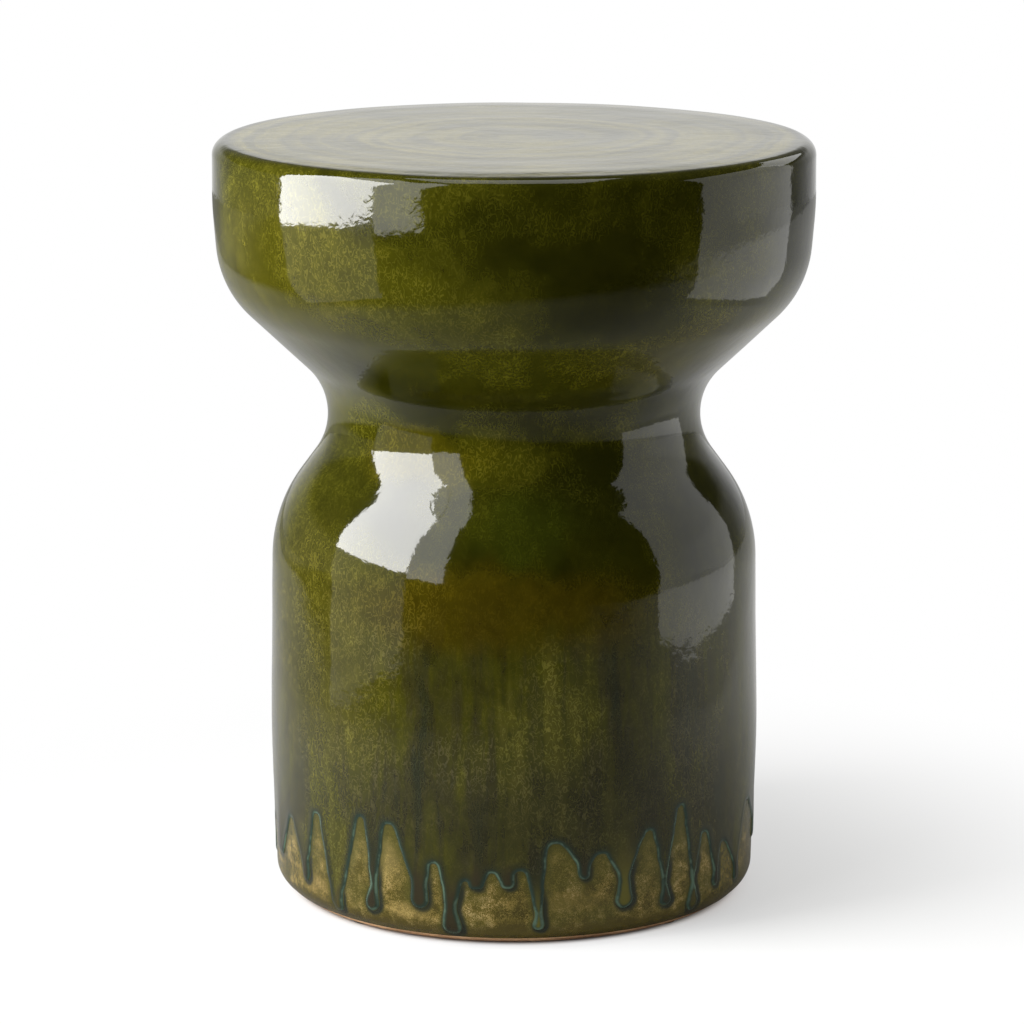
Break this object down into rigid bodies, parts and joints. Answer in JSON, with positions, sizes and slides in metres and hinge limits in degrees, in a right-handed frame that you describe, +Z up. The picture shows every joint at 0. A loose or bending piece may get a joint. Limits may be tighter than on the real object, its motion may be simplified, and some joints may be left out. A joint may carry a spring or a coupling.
{
  "type": "ceramic garden stool",
  "caption": "Hollow turned stoneware stool with a straight drum, a narrow waist and a wide flared seat, glazed in runs above a bare foot.",
  "frame": {"origin": "on the floor under the middle of the stool", "axes": "+Z up along the turning axis, -Y towards the front, where the pictured drips are"},
  "size_m": [0.356, 0.356, 0.454],
  "materials": {
    "glazed_stoneware": "high gloss mottled olive glaze over stoneware",
    "bare_stoneware": "bare fired tan clay, matt",
    "run_glaze": "thick glossy green glaze run over a honey glaze",
    "rubber": "dark rubber pads"
  },
  "bodies": {
    "root": {"foot_ring": "bare_stoneware", "drum_section": "glazed_stoneware", "bowl_section": "glazed_stoneware", "seat_slab": "glazed_stoneware", "green_glaze_run": "run_glaze", "rubber_feet": "rubber"}
  },
  "joints": []
}
